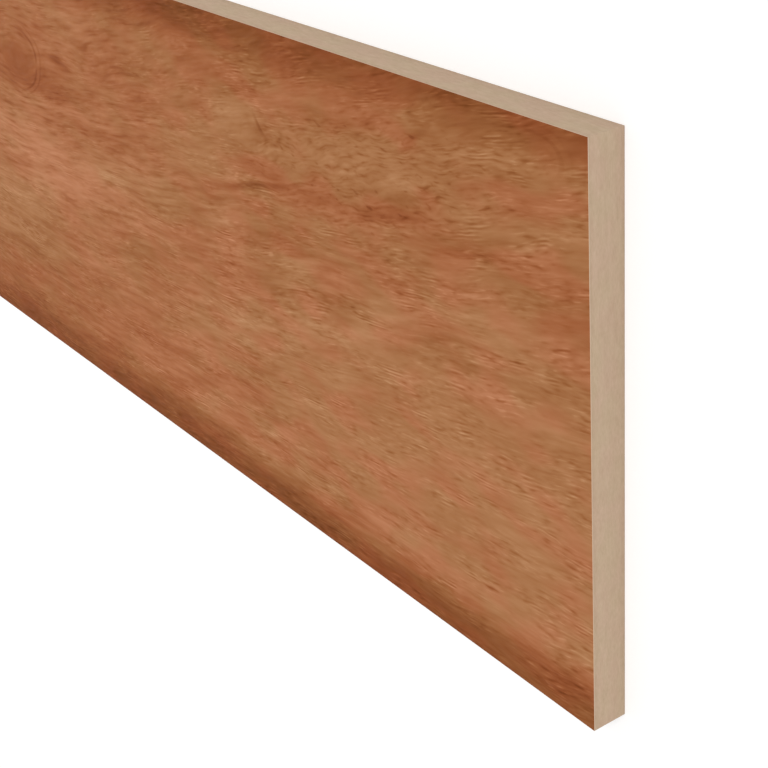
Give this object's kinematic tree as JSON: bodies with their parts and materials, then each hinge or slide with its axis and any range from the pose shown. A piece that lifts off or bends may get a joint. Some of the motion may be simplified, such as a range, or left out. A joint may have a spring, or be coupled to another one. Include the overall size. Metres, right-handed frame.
{
  "type": "stair riser board",
  "caption": "Flat square-edged fibreboard stair riser with a wood-look laminate face, glued to the upright of a step between two treads.",
  "frame": {"origin": "middle of the bare back face, on the surface that the board lies on", "axes": "+X along the board's length, to the right seen from the front of the stair; +Y up the riser's height; +Z out of the laminate face. The board is stored lying on its back, face up"},
  "size_m": [1.1938, 0.1874, 0.0127],
  "materials": {
    "core": "matte",
    "face": "satin"
  },
  "bodies": {
    "root": {"core_board": "core", "face_laminate": "face"}
  },
  "joints": []
}
